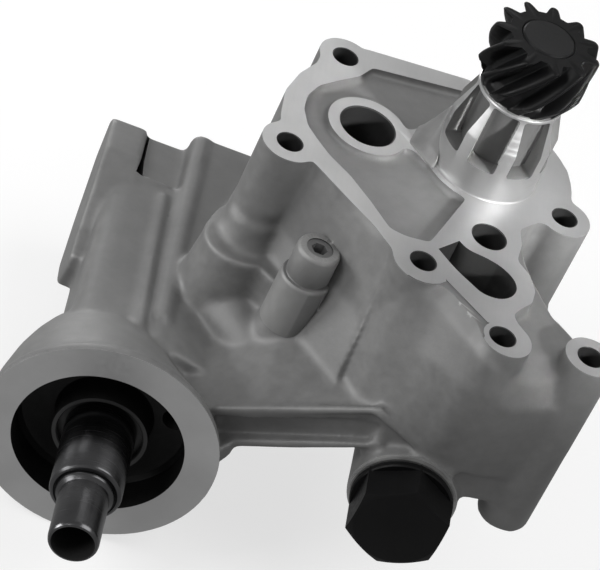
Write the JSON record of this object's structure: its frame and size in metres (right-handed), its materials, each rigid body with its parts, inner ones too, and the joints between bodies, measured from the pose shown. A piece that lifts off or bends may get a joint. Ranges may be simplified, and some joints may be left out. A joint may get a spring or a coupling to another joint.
{
  "type": "engine oil pump",
  "caption": "Flange-mounted engine oil pump: cast housing with gear-driven trochoid rotors, sprung relief valve and a spin-on filter mount.",
  "frame": {"origin": "pump shaft axis where it meets the machined flange face", "axes": "+Z along the shaft towards the drive gear, -Y out of the filter face, +X away from the filter"},
  "size_m": [0.1865, 0.1944, 0.1827],
  "materials": {
    "cast_aluminium": "as-cast grey alloy with machined flange land, ports, filter face and pilot",
    "shaft_steel": "dark ground steel",
    "gear_steel": "black heat-treated gear steel with an oil film",
    "pin_steel": "spring steel",
    "washer_steel": "ground hardened steel",
    "bush_bronze": "bored bearing bronze",
    "rotor_steel": "sintered and ground steel",
    "cover_iron": "cast iron with a ground inner face",
    "seal_rubber": "black nitrile rubber",
    "plated_steel": "zinc-plated steel",
    "relief_washer": "soft aluminium sealing washer",
    "plug_black": "satin black oxide steel",
    "spring_steel": "oil-tempered spring wire",
    "stud_steel": "turned dark steel",
    "plug_steel": "steel socket plug"
  },
  "bodies": {
    "housing": {"pump_housing": "cast_aluminium", "upper_bush": "bush_bronze", "lower_bush": "bush_bronze", "thrust_washer": "washer_steel", "rotor_cover": "cover_iron", "cover_seal": "seal_rubber", "cover_washers": "plated_steel", "cover_bolts": "plated_steel", "cover_dowels": "pin_steel", "relief_washer": "relief_washer", "relief_plug": "plug_black", "relief_shim": "washer_steel", "relief_spring": "spring_steel", "filter_stud": "stud_steel", "gallery_plug": "plug_steel", "duct_plug": "plug_steel"},
    "rotor_shaft": {"drive_shaft": "shaft_steel", "drive_gear": "gear_steel", "gear_pin": "pin_steel", "inner_rotor": "rotor_steel", "rotor_pin": "pin_steel"},
    "ring_rotor": {"outer_rotor": "rotor_steel"},
    "relief_piston": {"relief_plunger": "pin_steel"}
  },
  "joints": [
    {"name": "shaft_spin", "type": "hinge", "parent": "housing", "child": "rotor_shaft", "pos_m": [0, 0, 0], "axis": [0, 0, 1], "continuous": true},
    {"name": "outer_rotor_spin", "type": "hinge", "parent": "housing", "child": "ring_rotor", "pos_m": [0.0026, 0, -0.058], "axis": [0, 0, 1], "continuous": true},
    {"name": "relief_slide", "type": "slide", "parent": "housing", "child": "relief_piston", "axis": [0, -1, 0], "range_m": [0, 0.008], "stiffness_N_per_m": 5000, "springref_m": -0.012, "deforming": ["relief_spring"]}
  ],
  "couplings": [
    {"joint": "outer_rotor_spin", "follows": "shaft_spin", "ratio": 0.8}
  ]
}
